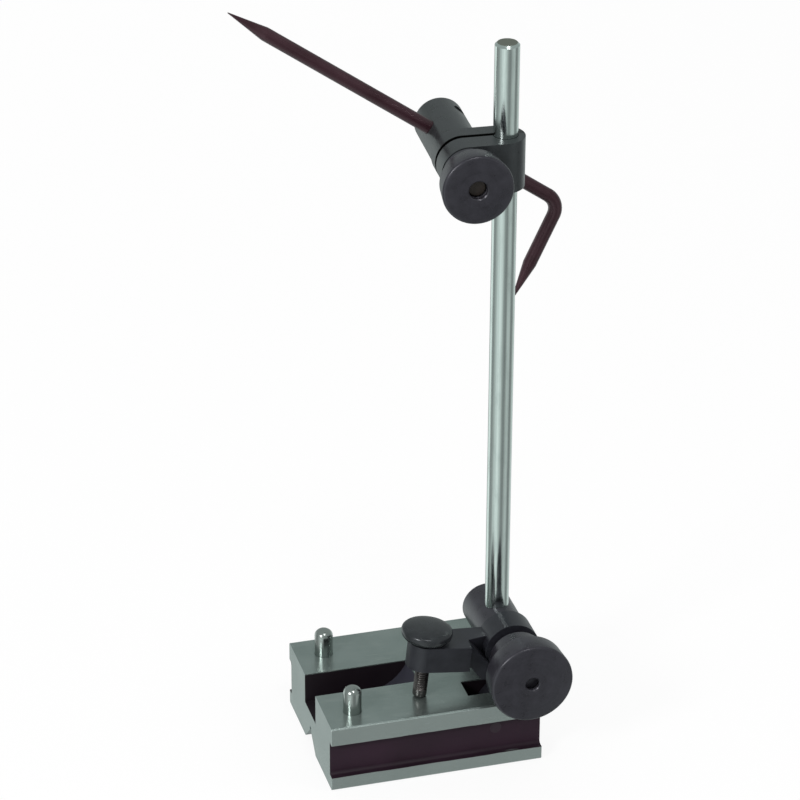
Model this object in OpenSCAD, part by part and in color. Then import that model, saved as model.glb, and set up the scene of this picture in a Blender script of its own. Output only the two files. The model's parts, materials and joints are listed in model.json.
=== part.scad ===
// Universal surface gauge with a rocking spindle bracket, a swivelling spindle,
// a sliding snug and a bent scriber. Sizes are in millimetres.
// Origin: centre of the underside. +X runs to the spindle end, +Z up the spindle,
// and the clamp knobs face -Y.

/* [Base] */
// Length of the base along X
base_l = 73; // [66:1:90]
// Width of the base along Y
base_w = 57; // [55:1:62]
// Height of the base
base_h = 24; // [22:0.5:28]
// Width of the open slot in the top
slot_w = 14; // [9:0.5:15]
// Depth of that slot
slot_d = 10.8; // [8:0.2:12]
// Level length of the slot's floor
slot_floor_l = 20; // [14:1:22]
// Radius of the cutter that left the slot's curved end
cutter_r = 17.25; // [15:0.25:19]
// Depth of the painted recess in each long side
recess_d = 2.5; // [1.5:0.1:3]
// Height of that recess
recess_h = 12.3; // [10:0.1:13]
// Height of the ground band under the recess
recess_z = 5; // [4:0.1:6]
// Radius in the inner corners of the recess
recess_r = 1.2; // [0.6:0.1:1.4]
// Width of the V groove along the underside
vee_w = 13.5; // [12:0.5:15]
// Width of the clearance cut at the bottom of the V
vee_relief_w = 1.6; // [1:0.1:2]
// Chamfer on the long edges of the base
base_chamfer = 0.5; // [0.2:0.1:1]

/* [Guide pins] */
// Diameter of a guide pin
pin_d = 6.2; // [5:0.1:7]
// Distance of the pins from the left end of the base
pin_from_end = 9.7; // [8:0.1:14]
// Distance of the pins from the long sides of the base
pin_from_side = 9.7; // [8:0.1:12]
// Height that a raised pin stands above the base
pin_stand = 9.5; // [6:0.1:11]
// Height of the dome on a pin
pin_dome = 1.6; // [1:0.1:2]
// Width of the groove for the friction ring
ring_w = 1.6; // [1:0.1:2]
// Depth of that groove
ring_d = 0.8; // [0.5:0.1:1]
// Width of the split in the friction ring
ring_split = 1.2; // [0.8:0.1:2]

/* [Rocking bracket] */
// Distance of the rocker's pivot from the right end of the base
pivot_from_end = 15.6; // [15:0.1:17.5]
// Height of that pivot above the underside
pivot_z = 13.5; // [13:0.1:13.8]
// Distance of the rocker's mid plane from the spindle
rocker_off = 15.8; // [14:0.1:17]
// Angle that the nose of the rocker is raised by
rocker_tilt = 6; // [-6:0.5:7]
// Diameter of the pivot pin
pivot_d = 4; // [3:0.1:4.6]
// Radius of the rocker's boss round the pivot pin
boss_r = 5; // [4:0.1:5.4]
// Clamp axis ahead of the pivot, with the rocker level
ear_u = 5.2; // [4.8:0.1:5.6]
// Clamp axis above the pivot, with the rocker level
ear_w = 25.4; // [24.4:0.1:27]
// Radius of the ear that carries the spindle clamp
ear_r = 9.5; // [9:0.1:10.4]
// Thickness of the ear
ear_t = 10; // [8:0.1:10.6]
// Distance from the rocker's mid plane to the ear's near face
ear_near = 2.7; // [1.5:0.1:3.2]
// Distance from the clamp axis back to the fine screw
arm_reach = 30; // [27:0.5:33]
// Height of the bar and the arm
arm_h = 9.2; // [8:0.1:9.6]
// Height of their top above the clamp axis
arm_rise = 4; // [3:0.1:5]
// Radius of the nose round the fine screw
nose_r = 6; // [5:0.1:7]
// Distance from the fine screw to the step where the bar ends and the arm goes on
bar_l = 14.3; // [12:0.1:15]
// Distance that the bar's near side spreads by from the nose to the step
bar_spread = 0.7; // [0:0.1:1.5]
// Width of the arm at that step
arm_w = 7.9; // [6:0.1:8.4]
// Width of the arm where it meets the ear
arm_end_w = 3.9; // [3:0.1:6]
// Height of the bend's underside above the pivot, between the bar and the tongue
knee_w = 15.2; // [14.6:0.1:16.4]
// Thickness of the tongue that enters the base
tongue_t = 8.2; // [7:0.1:9]
// Width of the tongue's neck
neck_w = 9.2; // [8:0.1:9.6]
// Clearance at each side of the tongue in its pocket
pocket_gap = 0.4; // [0.2:0.1:0.8]
// Pocket length to the left of the pivot
pocket_back = 8; // [7:0.5:10]
// Pocket length to the right of the pivot
pocket_front = 12.5; // [12:0.1:12.8]
// Height of the pocket's floor
pocket_z = 7.5; // [6.5:0.1:7.8]
// Distance from the pivot to the spring
spring_u = 8; // [7.5:0.1:8.3]
// Outer diameter of the spring
spring_d = 5; // [4:0.1:5.4]
// Diameter of the spring's wire
wire_d = 0.7; // [0.5:0.05:0.8]
// Number of turns in the spring
spring_turns = 5; // [4:1:6]
// Height of the bottom of the spring's hole
spring_z = 2.5; // [2:0.1:3]

/* [Fine adjustment screw] */
// Diameter of the fine screw
fine_d = 4.8; // [4:0.1:6]
// Radius of the ball foot of the fine screw
foot_r = 2.3; // [1.5:0.1:2.4]
// Clearance under that foot
foot_gap = 0.1; // [0.05:0.05:0.3]
// Diameter of the screw's head
fine_head_d = 17.5; // [14:0.5:19]
// Thickness of that head
fine_head_t = 3.2; // [2.5:0.1:5]
// Gap between the head and the nose
fine_head_gap = 0.6; // [0.4:0.1:3]
// Depth of the shank in the head
fine_seat = 2.2; // [1.5:0.1:2.4]

/* [Spindle] */
// Diameter of the spindle
spindle_d = 8; // [7:0.1:9]
// Length of the spindle
spindle_l = 220; // [200:5:300]
// Length of spindle below the clamp axis
spindle_drop = 9.2; // [8.4:0.1:12]
// Chamfer on the spindle's ends
spindle_chamfer = 0.8; // [0.4:0.1:1.2]

/* [Clamps] */
// Diameter of the bolts where they carry the knobs
stud_d = 6.2; // [5:0.1:6.8]
// Radial clearance where one piece turns or slides in another
run_gap = 0.06; // [0.02:0.01:0.1]
// Gap between flat faces that slide on each other
face_gap = 0.05; // [0.02:0.01:0.1]
// Outer diameter of the clamp sleeves
sleeve_d = 16.4; // [15:0.1:17]
// Depth of a bolt's end below the face of its knob
stud_sink = 2.5; // [1:0.1:4]
// Stroke that is left between a bolt's shoulder and the end of its sleeve
clamp_stroke = 2; // [1:0.1:2.4]
// Chamfer round sleeves, bolts and washers
edge_chamfer = 0.5; // [0.2:0.1:0.8]

/* [Spindle clamp] */
// Diameter of the spindle clamp's bolt inside its sleeve
low_bolt_d = 11; // [10.5:0.1:11.4]
// Length of the sleeve beyond the spindle's centre
low_sleeve_past = 13; // [9:0.1:15]
// Diameter of the spindle clamp's knob at its face
low_knob_d = 28.2; // [24:0.1:29]
// Diameter of that knob at the back of its head
low_knob_back_d = 27; // [22:0.1:27.6]
// Length of the head of that knob
low_knob_l = 9; // [7:0.5:11]
// Diameter of the hub behind the head
low_hub_d = 18.6; // [16:0.1:20]
// Length of that hub
low_hub_l = 9.9; // [6:0.1:12]
// Diameter of the washer between the hub and the ear
low_washer_d = 14; // [10:0.1:16]
// Thickness of that washer
low_washer_t = 3.4; // [2.6:0.1:5]

/* [Snug and scriber clamp] */
// Distance of the snug's centre from the top of the spindle
snug_from_top = 39.8; // [12:0.1:120]
// Angle that the snug is turned by about the spindle
snug_turn = -3.5; // [-180:0.5:180]
// Half of the snug's thickness, and the radius of its strap's end
strap_r = 7.6; // [6.6:0.1:8.4]
// Distance from the spindle's centre to the outside of the strap's end
strap_reach = 6.3; // [5.4:0.1:7.4]
// Distance from the spindle to the scriber clamp's axis
bolt_off = 13.8; // [13.2:0.1:18]
// Radius of the snug's round end
cheek_r = 8.6; // [8.4:0.1:10]
// Width of the slit through the snug
slit_w = 1.6; // [0.6:0.1:2]
// Distance of that slit from the snug's mid plane
slit_off = 1; // [-1.5:0.1:1.5]
// Diameter of the scriber clamp's bolt inside its sleeve
top_bolt_d = 9.4; // [8.4:0.1:10]
// Distance from the snug's mid plane to the scriber
scriber_off = 19.6; // [13:0.1:22]
// Distance from the scriber to the spare cross hole
spare_off = 8; // [6.5:0.1:14]
// Angle between the scriber and the spare cross hole
spare_turn = 82; // [60:1:90]
// Length of the sleeve beyond the spare cross hole
top_sleeve_past = 7; // [3.6:0.1:8]
// Diameter of the scriber clamp's knob at its face
top_knob_d = 23.3; // [20:0.1:24]
// Diameter of that knob at the back of its head
top_knob_back_d = 21.4; // [18:0.1:22.4]
// Length of the head of that knob
top_knob_l = 8.5; // [6:0.5:10]
// Diameter of the hub behind the head
top_hub_d = 16.8; // [14:0.1:18.2]
// Length of that hub
top_hub_l = 3.8; // [2:0.1:7]
// Thickness of the washer between that hub and the snug
top_washer_t = 2; // [1.2:0.1:2.4]

/* [Scriber] */
// Diameter of the scriber
scriber_d = 4.5; // [3.5:0.1:5.2]
// Angle of the scriber above the level
scriber_tilt = 34.5; // [-60:0.5:60]
// Distance from the clamp axis to the straight point
point_reach = 86; // [60:1:120]
// Distance from the clamp axis to the bend
bend_reach = 45.3; // [30:0.1:60]
// Centre line radius of the bend
bend_r = 6; // [4:0.5:9]
// Angle that the hook is bent by
bend_angle = 80; // [60:1:100]
// Swelling of the bar's radius in the bend
bend_swell = 0.04; // [0.03:0.01:0.1]
// Length of the hook, from the corner of the centre lines
hook_l = 37.4; // [28:0.1:45]
// Length of the taper to each point
taper_l = 14; // [8:0.5:18]
// Radius left at each point
point_r = 0.15; // [0.1:0.05:0.4]

/* [Hidden] */
$fn = 96;
// Overlap of a cut past the face that it opens
cut = 1;
// Places that follow from the sizes above
pivot_x = base_l / 2 - pivot_from_end;
rocker_y = -rocker_off;
clamp_x = pivot_x + ear_u * cos(rocker_tilt) + ear_w * sin(rocker_tilt);
clamp_z = pivot_z - ear_u * sin(rocker_tilt) + ear_w * cos(rocker_tilt);
screw_u = ear_u - arm_reach;
snug_height = spindle_l - spindle_drop - snug_from_top;
nose_top_w = ear_w + arm_rise;
arm_under_w = nose_top_w - arm_h;
step_u = screw_u + bar_l;
// Height of the ball foot's centre in the level rocker, so that it stands on the base
foot_z = base_h + foot_gap + foot_r - pivot_z;
foot_w = (foot_z + screw_u * sin(rocker_tilt)) / cos(rocker_tilt);
fine_head_w = nose_top_w + fine_head_gap;
ear_far = ear_t - ear_near;
near_ear_y = rocker_y - ear_near;
far_ear_y = rocker_y + ear_far;
low_sleeve_y = far_ear_y + face_gap;
low_sleeve_end = low_sleeve_past;
low_washer_y = near_ear_y - low_washer_t;
low_knob_y = low_washer_y - face_gap - low_hub_l - low_knob_l;
top_sleeve_y = strap_r + face_gap;
top_sleeve_end = scriber_off + spare_off + top_sleeve_past;
top_washer_y = -strap_r - top_washer_t;
top_knob_y = top_washer_y - face_gap - top_hub_l - top_knob_l;
pocket_w = tongue_t + 2 * pocket_gap;
pin_x = pin_from_end - base_l / 2;
pin_y = base_w / 2 - pin_from_side;
pin_floor = 0.3;
ring_z = base_h / 2;
// Level of the heel's underside, over the spring
heel_w = -1.5;
heel_h = 4.5;
heel_end = spring_u + spring_d / 2 + 0.6;
// Top of the spring: under the lowest corner of the tilted heel
spring_reach = spring_u + spring_d / 2;
spring_top = pivot_z + heel_w * cos(rocker_tilt) - spring_reach * abs(sin(rocker_tilt)) - 0.1;

ground_steel = [0.62, 0.66, 0.64];
polished_steel = [0.75, 0.77, 0.76];
black_oxide = [0.20, 0.21, 0.23];
scriber_steel = [0.22, 0.16, 0.17];
spring_steel = [0.45, 0.45, 0.47];

// ---- Shared shapes ----

// A round bar along Y
module bar_y(y0, y1, r) {
    translate([0, y0, 0])
        rotate([-90, 0, 0])
            cylinder(h = y1 - y0, r = r);
}

// A round bar along Y with a chamfer at each end
module chamfered_bar_y(y0, y1, r, c) {
    translate([0, y0, 0])
        rotate([-90, 0, 0])
            rotate_extrude()
                polygon([[0, 0], [r - c, 0], [r, c], [r, y1 - y0 - c],
                    [r - c, y1 - y0], [0, y1 - y0]]);
}

// A turned ring along Y, chamfered outside at both ends
module ring_y(y0, y1, r, bore, c) {
    difference() {
        chamfered_bar_y(y0, y1, r, c);
        bar_y(y0 - cut, y1 + cut, bore);
    }
}

// A clamp knob whose face looks along -Y: tapered head, hub and a bore for the stud
module knob(y0, face_r, back_r, head_l, hub_r, hub_l) {
    face_edge = 1.1;
    back_edge = 0.5;
    end = head_l + hub_l;
    bore = stud_d / 2 + run_gap;
    mouth = 0.6;
    translate([0, y0, 0])
        rotate([-90, 0, 0])
            rotate_extrude()
                polygon([[bore + mouth, 0], [face_r - face_edge, 0], [face_r, face_edge],
                    [back_r, head_l - back_edge], [back_r - back_edge, head_l],
                    [hub_r, head_l], [hub_r, end - back_edge], [hub_r - back_edge, end],
                    [bore, end], [bore, mouth]]);
}

// A stud with a thick drilled end: the stud runs to -Y
module clamp_bolt(stud_y, shoulder_y, end_y, thick_r) {
    chamfered_bar_y(stud_y, shoulder_y + cut, stud_d / 2, edge_chamfer);
    chamfered_bar_y(shoulder_y, end_y, thick_r, edge_chamfer);
}

// A cross hole along X at the place y
module cross_hole(y, r) {
    translate([-sleeve_d, y, 0])
        rotate([0, 90, 0])
            cylinder(h = 2 * sleeve_d, r = r);
}

// ---- Frames of the moving assemblies ----

module at_rocker() {
    translate([pivot_x, rocker_y, pivot_z])
        rotate([0, rocker_tilt, 0])
            children();
}

module at_spindle_clamp() {
    translate([clamp_x, 0, clamp_z])
        children();
}

module at_snug() {
    translate([clamp_x, 0, clamp_z + snug_height])
        rotate([0, 0, snug_turn])
            children();
}

module at_scriber_clamp() {
    at_snug()
        translate([-bolt_off, 0, 0])
            rotate([0, scriber_tilt, 0])
                children();
}

// ---- Base ----

// Cross-section of the block, with chamfered long edges
module block() {
    half = base_w / 2;
    c = base_chamfer;
    translate([-base_l / 2, 0, 0])
        rotate([90, 0, 90])
            linear_extrude(base_l)
                polygon([[-half + c, 0], [half - c, 0], [half, c], [half, base_h - c],
                    [half - c, base_h], [-half + c, base_h], [-half, base_h - c],
                    [-half, c]]);
}

// The slot: a level floor that ends in the arc of the cutter
module top_slot() {
    floor_z = base_h - slot_d;
    left = -base_l / 2;
    translate([left - cut, -slot_w / 2, floor_z])
        cube([slot_floor_l + cut, slot_w, slot_d + cut]);
    intersection() {
        translate([left + slot_floor_l, 0, floor_z + cutter_r])
            bar_y(-slot_w / 2, slot_w / 2, cutter_r);
        translate([left + slot_floor_l - cut, -slot_w, floor_z - cut])
            cube([cutter_r + 2 * cut, 2 * slot_w, slot_d + 3 * cut]);
    }
}

// Side recess, cut from the face at y = 0 towards +Y, with round inner corners
module side_recess() {
    long = base_l + 2 * cut;
    translate([-long / 2, -cut, recess_z]) {
        cube([long, recess_d + cut - recess_r, recess_h]);
        translate([0, 0, recess_r])
            cube([long, recess_d + cut, recess_h - 2 * recess_r]);
        for (z = [recess_r, recess_h - recess_r])
            translate([0, recess_d + cut - recess_r, z])
                rotate([0, 90, 0])
                    cylinder(h = long, r = recess_r);
    }
}

// The V groove, with a clearance cut at its bottom
module vee_groove() {
    half = vee_w / 2;
    relief = vee_relief_w / 2;
    translate([-base_l / 2 - cut, 0, 0])
        rotate([90, 0, 90])
            linear_extrude(base_l + 2 * cut)
                polygon([[-half - cut, -cut], [half + cut, -cut], [relief, half - relief],
                    [relief, half + relief], [-relief, half + relief],
                    [-relief, half - relief]]);
}

// Pocket for the rocker's tongue, with the seat of the spring in its floor
module rocker_pocket() {
    translate([pivot_x - pocket_back, rocker_y - pocket_w / 2, pocket_z])
        cube([pocket_back + pocket_front, pocket_w, base_h]);
    translate([pivot_x + spring_u, rocker_y, spring_z])
        cylinder(h = pocket_z, d = spring_d + 0.8);
}

// Length of the pivot pin beyond the pocket
pin_seat = 6;
pivot_pin_y0 = recess_d - base_w / 2;
pivot_pin_y1 = rocker_y + pocket_w / 2 + pin_seat;

module base() {
    color(ground_steel)
        difference() {
            block();
            top_slot();
            translate([0, -base_w / 2, 0])
                side_recess();
            mirror([0, 1, 0])
                translate([0, -base_w / 2, 0])
                    side_recess();
            vee_groove();
            rocker_pocket();
            translate([pivot_x, 0, pivot_z])
                bar_y(pivot_pin_y0 - cut, pivot_pin_y1, pivot_d / 2);
            for (side = [-1, 1])
                translate([pin_x, side * pin_y, -cut])
                    cylinder(h = base_h + 2 * cut, d = pin_d + 2 * run_gap);
        }
}

// ---- Guide pins ----

module guide_pin(side) {
    length = base_h - pin_floor + pin_stand;
    dome_r = (pow(pin_d / 2, 2) + pow(pin_dome, 2)) / (2 * pin_dome);
    color(polished_steel)
        translate([pin_x, side * pin_y, pin_floor])
            difference() {
                intersection() {
                    cylinder(h = length, d = pin_d);
                    translate([0, 0, length - dome_r])
                        union() {
                            sphere(r = dome_r);
                            translate([0, 0, -length])
                                cylinder(h = length, r = pin_d);
                        }
                }
                translate([0, 0, ring_z - pin_floor - ring_w / 2])
                    difference() {
                        cylinder(h = ring_w, r = pin_d);
                        translate([0, 0, -cut])
                            cylinder(h = ring_w + 2 * cut, d = pin_d - 2 * ring_d);
                    }
            }
}

// Split friction ring that sits in the pin's groove
module guide_pin_ring(side) {
    side_gap = 0.05;
    color(spring_steel)
        translate([pin_x, side * pin_y, ring_z - ring_w / 2 + side_gap])
            difference() {
                cylinder(h = ring_w - 2 * side_gap, d = pin_d + run_gap);
                translate([0, 0, -cut])
                    cylinder(h = ring_w + 2 * cut, d = pin_d - 2 * ring_d);
                translate([0, -ring_split / 2, -cut])
                    cube([pin_d, ring_split, ring_w + 2 * cut]);
            }
}

module guide_pin_near() { guide_pin(-1); }
module guide_pin_far() { guide_pin(1); }
module guide_pin_ring_near() { guide_pin_ring(-1); }
module guide_pin_ring_far() { guide_pin_ring(1); }

// ---- Rocking bracket ----

// Plan of the bar and the arm: a round nose, a bar up to the step, an arm on to the ear
module arm_plan() {
    step_far = nose_r + (ear_far - nose_r) * bar_l / arm_reach;
    translate([screw_u, 0])
        circle(r = nose_r);
    polygon([[screw_u, -nose_r], [step_u, -nose_r - bar_spread], [step_u, step_far - arm_w],
        [ear_u, ear_far - arm_end_w], [ear_u, ear_far], [screw_u, nose_r]]);
}

// Side view of the tongue: boss round the pivot, neck, bend up to the bar's end, and heel
module tongue_profile() {
    neck_left = ear_u - neck_w / 2;
    neck_right = ear_u + neck_w / 2;
    root_w = ear_w - ear_r * 0.8;
    bend = arm_h * 0.75;
    circle(r = boss_r);
    polygon([[-boss_r * 0.94, boss_r * 0.34], [neck_left, boss_r * 2],
        [neck_left, knee_w - bend / 4], [neck_left - bend / 3, knee_w],
        [step_u + bend * 0.8, knee_w], [step_u + bend / 5, arm_under_w],
        [step_u - cut, arm_under_w], [step_u - cut, nose_top_w], [step_u, nose_top_w],
        [step_u + bend, nose_top_w - bend], [ear_u - ear_r * 0.6, root_w],
        [neck_right, root_w], [neck_right, heel_w + heel_h], [heel_end, heel_w + heel_h],
        [heel_end, heel_w], [boss_r * 0.9, heel_w], [0, -boss_r * 0.5]]);
}

module rocker_bracket() {
    color(black_oxide)
        at_rocker()
            difference() {
                union() {
                    translate([0, 0, arm_under_w])
                        linear_extrude(arm_h)
                            arm_plan();
                    translate([ear_u, 0, ear_w])
                        bar_y(-ear_near, ear_far, ear_r);
                    translate([0, tongue_t / 2, 0])
                        rotate([90, 0, 0])
                            linear_extrude(tongue_t)
                                tongue_profile();
                }
                translate([ear_u, 0, ear_w])
                    bar_y(-ear_near - cut, ear_far + cut, stud_d / 2 + run_gap);
                bar_y(-tongue_t, tongue_t, pivot_d / 2 + run_gap);
                translate([screw_u, 0, ear_w - arm_h])
                    cylinder(h = 2 * arm_h, d = fine_d + 2 * run_gap);
            }
}

module rocker_pivot_pin() {
    color(spring_steel)
        translate([pivot_x, 0, pivot_z])
            bar_y(pivot_pin_y0, pivot_pin_y1, pivot_d / 2);
}

// Helix of the spring: eight rings a turn, six sides, one unbroken tube
spring_rings = 8;
wire_sides = 6;
coil_r = (spring_d - wire_d) / 2;
spring_h = spring_top - spring_z;
spring_pitch = (spring_h - wire_d) / spring_turns;
spring_steps = spring_turns * spring_rings;

function coil_point(i) =
    let (turn = 360 * i / spring_rings)
    [coil_r * cos(turn), coil_r * sin(turn),
        wire_d / 2 + spring_pitch * i / spring_rings];

function wire_ring(i) =
    let (turn = 360 * i / spring_rings, c = coil_point(i))
    [for (k = [0 : wire_sides - 1])
        let (a = 360 * k / wire_sides, r = wire_d / 2)
        c + [r * cos(a) * cos(turn), r * cos(a) * sin(turn), r * sin(a)]];

// Least distance between the wire's surfaces in neighbouring turns
spring_gap = min([for (i = [0 : spring_steps - spring_rings])
    norm(coil_point(i + spring_rings) - coil_point(i))]) - wire_d;
echo(spring_gap = spring_gap);

module rocker_spring() {
    points = [for (i = [0 : spring_steps]) each wire_ring(i)];
    last = spring_steps * wire_sides;
    walls = [for (i = [0 : spring_steps - 1], k = [0 : wire_sides - 1])
        let (a = i * wire_sides + k, b = i * wire_sides + (k + 1) % wire_sides)
        each [[a, a + wire_sides, b], [b, a + wire_sides, b + wire_sides]]];
    start_cap = [for (k = [1 : wire_sides - 2]) [0, k, k + 1]];
    end_cap = [for (k = [1 : wire_sides - 2]) [last, last + k + 1, last + k]];
    color(spring_steel)
        translate([pivot_x + spring_u, rocker_y, spring_z])
            polyhedron(points, concat(walls, start_cap, end_cap));
}

// ---- Fine adjustment screw ----

module fine_screw() {
    top = fine_head_w + fine_seat;
    color(polished_steel)
        at_rocker()
            translate([screw_u, 0, foot_w]) {
                sphere(r = foot_r);
                translate([0, 0, foot_r * 0.1])
                    cylinder(h = foot_r * 0.5, r1 = foot_r * 0.99, r2 = fine_d / 2);
                translate([0, 0, foot_r * 0.6])
                    cylinder(h = top - foot_w - foot_r * 0.6, d = fine_d);
            }
}

module fine_screw_head() {
    edge = 0.6;
    r = fine_head_d / 2;
    hub_r = fine_d / 2 + 2;
    hub_h = fine_head_t * 0.3;
    bore = fine_d / 2 + run_gap;
    roof = fine_seat + 0.2;
    color(black_oxide)
        at_rocker()
            translate([screw_u, 0, fine_head_w])
                rotate_extrude()
                    polygon([[bore, 0], [hub_r, 0], [r - 3 * edge, hub_h],
                        [r, hub_h + edge], [r, fine_head_t - edge],
                        [r - edge, fine_head_t], [0, fine_head_t], [0, roof],
                        [bore, roof]]);
}

// ---- Spindle clamp ----

module spindle_clamp_sleeve() {
    color(black_oxide)
        at_spindle_clamp()
            difference() {
                ring_y(low_sleeve_y, low_sleeve_end, sleeve_d / 2,
                    low_bolt_d / 2 + run_gap, edge_chamfer);
                translate([0, 0, -sleeve_d])
                    cylinder(h = 2 * sleeve_d, d = spindle_d + 2 * run_gap);
            }
}

module spindle_clamp_bolt() {
    color(black_oxide)
        at_spindle_clamp()
            difference() {
                clamp_bolt(low_knob_y + stud_sink, low_sleeve_y + clamp_stroke,
                    low_sleeve_end, low_bolt_d / 2);
                translate([0, 0, -sleeve_d])
                    cylinder(h = 2 * sleeve_d, d = spindle_d + 2 * run_gap);
            }
}

module spindle_clamp_washer() {
    color(black_oxide)
        at_spindle_clamp()
            ring_y(low_washer_y, near_ear_y, low_washer_d / 2,
                stud_d / 2 + run_gap, edge_chamfer);
}

module spindle_clamp_knob() {
    color(black_oxide)
        at_spindle_clamp()
            knob(low_knob_y, low_knob_d / 2, low_knob_back_d / 2, low_knob_l,
                low_hub_d / 2, low_hub_l);
}

// ---- Spindle ----

module spindle() {
    r = spindle_d / 2;
    c = spindle_chamfer;
    color(polished_steel)
        translate([clamp_x, 0, clamp_z - spindle_drop])
            rotate_extrude()
                polygon([[0, 0], [r - c, 0], [r, c], [r, spindle_l - c],
                    [r - c, spindle_l], [0, spindle_l]]);
}

// ---- Snug: a strap round the spindle whose two cheeks take the scriber clamp ----

module snug() {
    end_x = strap_reach - strap_r;
    color(black_oxide)
        at_snug()
            difference() {
                union() {
                    translate([-bolt_off, 0, 0])
                        bar_y(-strap_r, strap_r, cheek_r);
                    translate([-bolt_off, -strap_r, -cheek_r])
                        cube([bolt_off + end_x, 2 * strap_r, 2 * cheek_r]);
                    translate([end_x, 0, -cheek_r])
                        cylinder(h = 2 * cheek_r, r = strap_r);
                }
                translate([0, 0, -cheek_r - cut])
                    cylinder(h = 2 * (cheek_r + cut), d = spindle_d + 2 * run_gap);
                translate([-bolt_off - cheek_r - cut, slit_off - slit_w / 2, -cheek_r - cut])
                    cube([bolt_off + cheek_r + cut, slit_w, 2 * (cheek_r + cut)]);
                translate([-bolt_off, 0, 0])
                    bar_y(-strap_r - cut, strap_r + cut, stud_d / 2 + run_gap);
            }
}

// ---- Scriber clamp ----

// The cross hole for the scriber and the spare one beside it
module scriber_holes() {
    r = scriber_d / 2 + run_gap;
    cross_hole(scriber_off, r);
    rotate([0, -spare_turn, 0])
        cross_hole(scriber_off + spare_off, r);
}

module scriber_clamp_sleeve() {
    color(black_oxide)
        at_scriber_clamp()
            difference() {
                ring_y(top_sleeve_y, top_sleeve_end, sleeve_d / 2,
                    top_bolt_d / 2 + run_gap, edge_chamfer);
                scriber_holes();
            }
}

module scriber_clamp_bolt() {
    color(black_oxide)
        at_scriber_clamp()
            difference() {
                clamp_bolt(top_knob_y + stud_sink, top_sleeve_y + clamp_stroke,
                    top_sleeve_end, top_bolt_d / 2);
                scriber_holes();
            }
}

module scriber_clamp_washer() {
    color(black_oxide)
        at_scriber_clamp()
            ring_y(top_washer_y, -strap_r, top_hub_d / 2,
                stud_d / 2 + run_gap, edge_chamfer);
}

module scriber_clamp_knob() {
    color(black_oxide)
        at_scriber_clamp()
            knob(top_knob_y, top_knob_d / 2, top_knob_back_d / 2, top_knob_l,
                top_hub_d / 2, top_hub_l);
}

// ---- Scriber: straight point to the left, bent hook to the right ----

module scriber() {
    r = scriber_d / 2;
    tangent = bend_r * tan(bend_angle / 2);
    bend_x = bend_reach - tangent;
    hook_x = bend_x + bend_r * sin(bend_angle);
    hook_z = -bend_r * (1 - cos(bend_angle));
    // Each straight length runs this far into the bend
    lap = 0.5;
    shank_l = point_reach + bend_x + lap;
    hook_rest = hook_l - tangent + lap;
    color(scriber_steel)
        at_scriber_clamp()
            translate([0, scriber_off, 0]) {
                translate([-point_reach, 0, 0])
                    rotate([0, 90, 0])
                        rotate_extrude()
                            polygon([[0, 0], [point_r, 0], [r, taper_l], [r, shank_l],
                                [0, shank_l]]);
                translate([bend_x, 0, -bend_r])
                    rotate([90, 0, 0])
                        rotate([0, 0, 90 - bend_angle])
                            rotate_extrude(angle = bend_angle)
                                translate([bend_r, 0])
                                    circle(r = r + bend_swell);
                translate([hook_x, 0, hook_z])
                    rotate([0, 90 + bend_angle, 0])
                        translate([0, 0, -lap])
                            rotate_extrude()
                                polygon([[0, 0], [r, 0], [r, hook_rest - taper_l],
                                    [point_r, hook_rest], [0, hook_rest]]);
            }
}

base();
guide_pin_near();
guide_pin_far();
guide_pin_ring_near();
guide_pin_ring_far();
rocker_bracket();
rocker_pivot_pin();
rocker_spring();
fine_screw();
fine_screw_head();
spindle_clamp_sleeve();
spindle_clamp_bolt();
spindle_clamp_washer();
spindle_clamp_knob();
spindle();
snug();
scriber_clamp_sleeve();
scriber_clamp_bolt();
scriber_clamp_washer();
scriber_clamp_knob();
scriber();
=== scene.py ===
# %% [markdown]
# # A surface gauge, dressed for its picture
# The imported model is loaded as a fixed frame: every solid is already at its real size and
# place, in metres. This lesson keeps the solids whose shape is right and gives them a finish,
# and models again the few whose edges, threads or rounded faces show in the picture. Sizes are
# written in millimetres, and MM turns them into Blender's metres.

# %% Load the frame
import json
import math

import bpy
from mathutils import Matrix, Vector

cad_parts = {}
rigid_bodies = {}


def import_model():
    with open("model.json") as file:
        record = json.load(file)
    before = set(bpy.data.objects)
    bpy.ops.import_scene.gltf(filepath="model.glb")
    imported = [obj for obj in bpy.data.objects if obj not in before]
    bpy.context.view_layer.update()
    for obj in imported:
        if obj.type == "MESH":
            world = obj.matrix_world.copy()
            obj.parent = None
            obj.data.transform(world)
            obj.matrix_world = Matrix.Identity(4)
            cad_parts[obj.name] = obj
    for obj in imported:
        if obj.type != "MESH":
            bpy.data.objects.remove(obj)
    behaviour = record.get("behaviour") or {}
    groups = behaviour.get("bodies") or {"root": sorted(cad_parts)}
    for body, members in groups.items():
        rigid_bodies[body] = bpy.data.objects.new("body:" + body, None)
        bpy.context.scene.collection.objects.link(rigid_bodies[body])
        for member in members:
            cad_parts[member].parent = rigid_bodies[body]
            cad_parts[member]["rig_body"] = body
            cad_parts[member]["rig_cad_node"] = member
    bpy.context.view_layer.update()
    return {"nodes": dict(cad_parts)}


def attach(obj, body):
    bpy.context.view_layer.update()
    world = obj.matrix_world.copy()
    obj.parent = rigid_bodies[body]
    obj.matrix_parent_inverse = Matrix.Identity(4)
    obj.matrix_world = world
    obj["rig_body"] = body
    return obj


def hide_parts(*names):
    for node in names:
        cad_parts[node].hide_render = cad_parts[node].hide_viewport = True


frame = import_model()
nodes = frame["nodes"]
MM = 0.001
print("solids loaded:", len(nodes))

# %% [markdown]
# ## The camera
# The picture is taken with a long lens from a little over a metre away, slightly from the left
# and from above. The camera's own axes are written down as three directions, because they came
# from fitting the block's corners, and a matrix takes them without any rounding by angles.

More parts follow.
